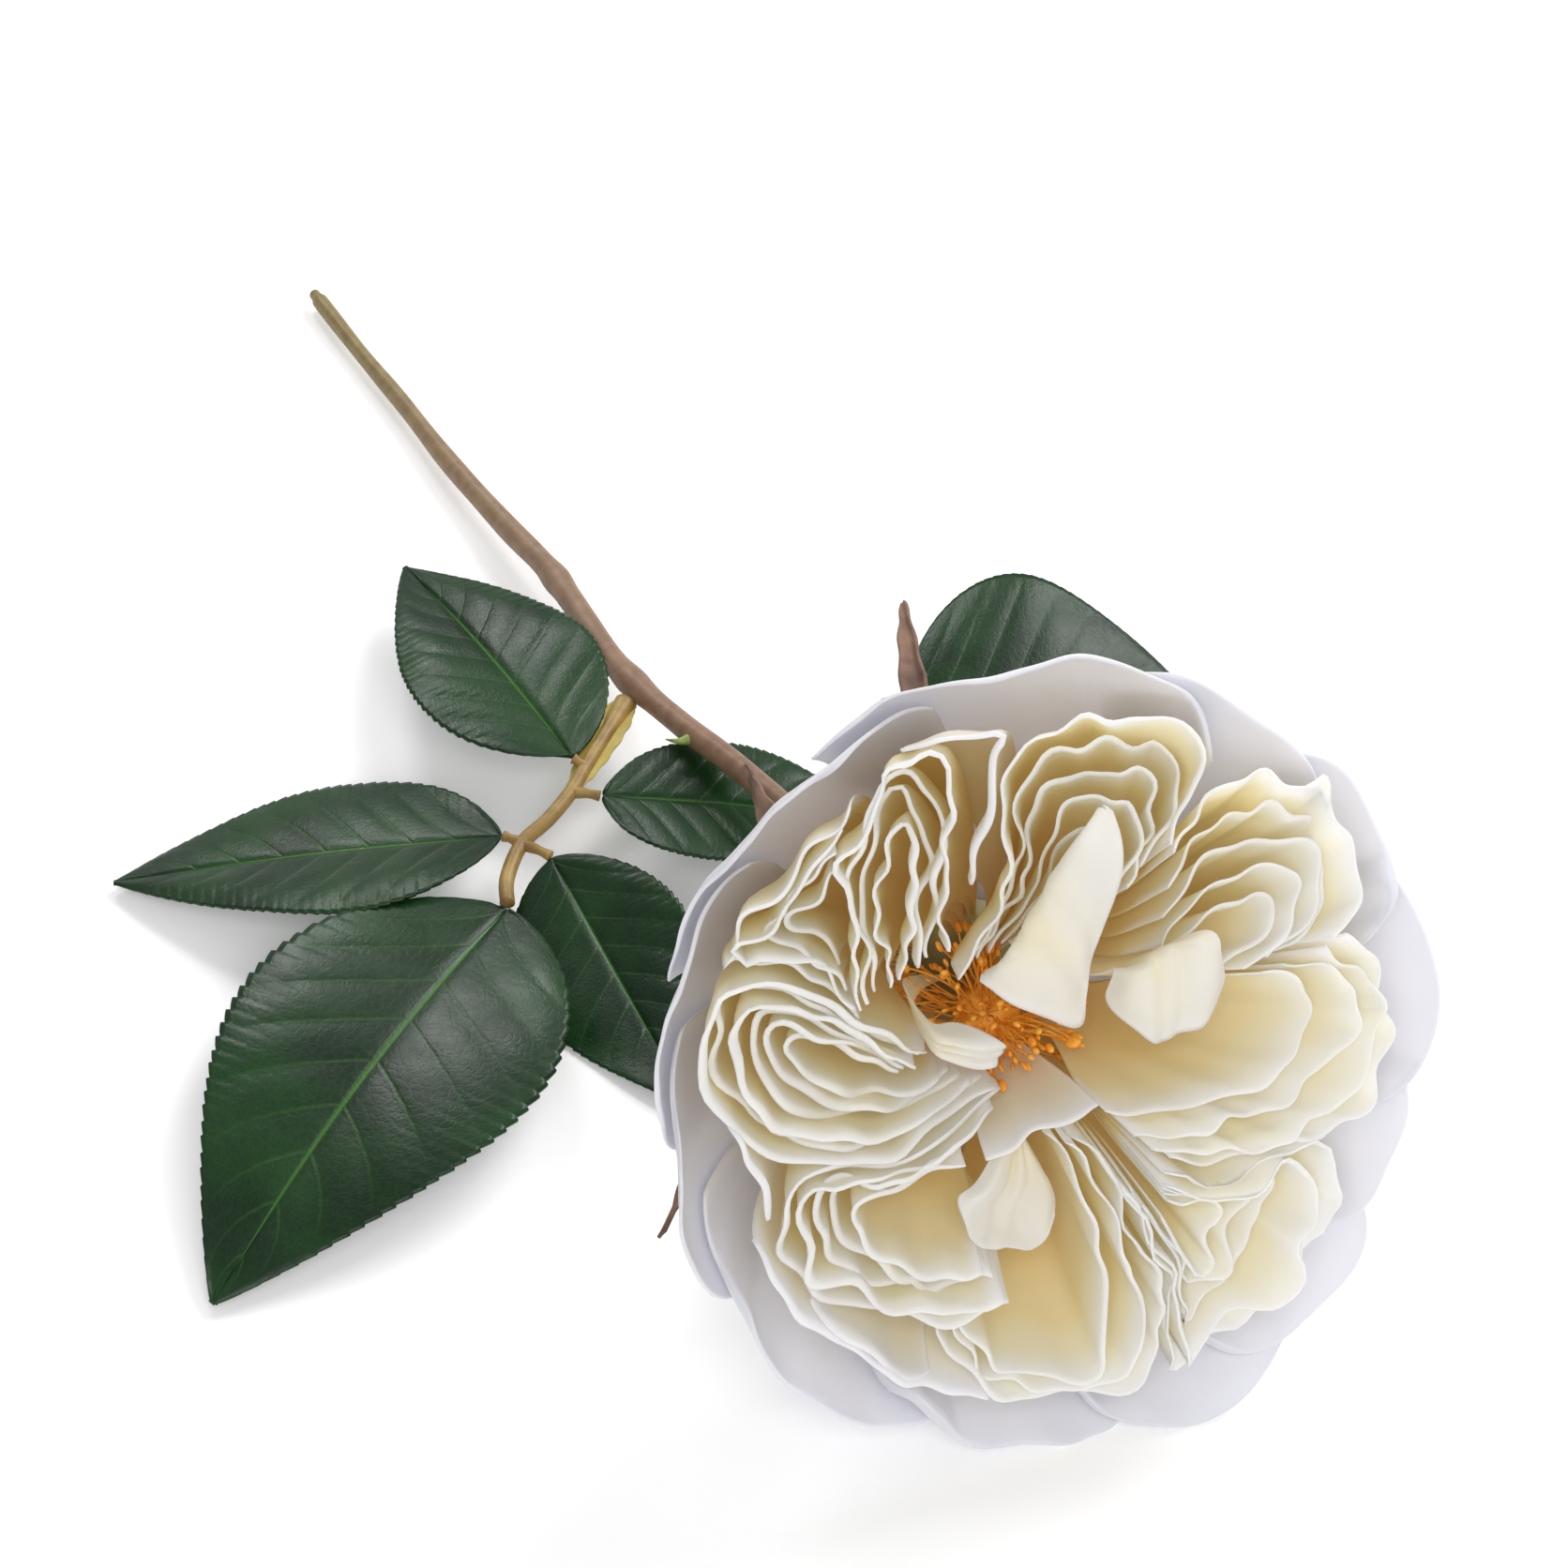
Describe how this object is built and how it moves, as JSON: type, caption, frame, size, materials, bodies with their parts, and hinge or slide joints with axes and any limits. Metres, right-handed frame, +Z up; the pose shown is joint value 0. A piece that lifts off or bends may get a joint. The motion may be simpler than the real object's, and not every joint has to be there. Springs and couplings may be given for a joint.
{
  "type": "cut rose",
  "caption": "Cream-white, very double rose with a quartered face, lying on its side on a short leafy stem.",
  "frame": {"origin": "centre of the bounding box, on the surface the flower lies on", "axes": "+Z up, +Y along the stem from the bloom to the cut end, so the bloom faces -Y"},
  "size_m": [0.1878, 0.2884, 0.1039],
  "materials": {
    "petal": "matte, cream-white at the rims and warm yellow in the depths",
    "guard_petal": "matte white with a faint lilac-grey cast in the shade",
    "stamen": "matte orange",
    "leaf": "waxy dark green with yellow-green veins",
    "leaf_stalk": "satin amber brown",
    "sepal": "dull reddish brown",
    "hip": "satin olive green to brown",
    "stem": "satin olive-tan to pinkish brown"
  },
  "bodies": {
    "root": {"guard_petal_01": "guard_petal", "guard_petal_02": "guard_petal", "guard_petal_03": "guard_petal", "guard_petal_04": "guard_petal", "guard_petal_05": "guard_petal", "guard_petal_06": "guard_petal", "guard_petal_07": "guard_petal", "guard_petal_08": "guard_petal", "guard_petal_09": "guard_petal", "guard_petal_10": "guard_petal", "guard_petal_11": "guard_petal", "guard_petal_12": "guard_petal", "hip": "hip", "leaf_stalk": "leaf_stalk", "leaflet_left": "leaf", "leaflet_lower_right": "leaf", "leaflet_terminal": "leaf", "leaflet_upper": "leaf", "leaflet_upper_leaf": "leaf", "leaflet_upper_right": "leaf", "petal_far_left_0": "petal", "petal_far_left_2": "petal", "petal_flop": "petal", "petal_frayed": "petal", "petal_left_0": "petal", "petal_left_2": "petal", "petal_left_4": "petal", "petal_lower_0": "petal", "petal_lower_2": "petal", "petal_lower_left_0": "petal", "petal_lower_left_2": "petal", "petal_lower_left_4": "petal", "petal_lower_right_0": "petal", "petal_lower_right_2": "petal", "petal_lower_right_4": "petal", "petal_right_0": "petal", "petal_right_1": "petal", "petal_right_3": "petal", "petal_side": "petal", "petal_sill": "petal", "petal_spoon": "petal", "petal_strip": "petal", "petal_tip": "petal", "petal_tongue": "petal", "petal_upper_0": "petal", "petal_upper_2": "petal", "petal_upper_4": "petal", "petal_upper_left_0": "petal", "petal_upper_left_2": "petal", "petal_upper_right_0": "petal", "petal_upper_right_2": "petal", "petal_upper_right_4": "petal", "sepal_1": "sepal", "sepal_2": "sepal", "sepal_3": "sepal", "sepal_4": "sepal", "sepal_5": "sepal", "stamens": "stamen", "stem": "stem", "upper_leaf_stalk": "leaf_stalk"}
  },
  "joints": []
}
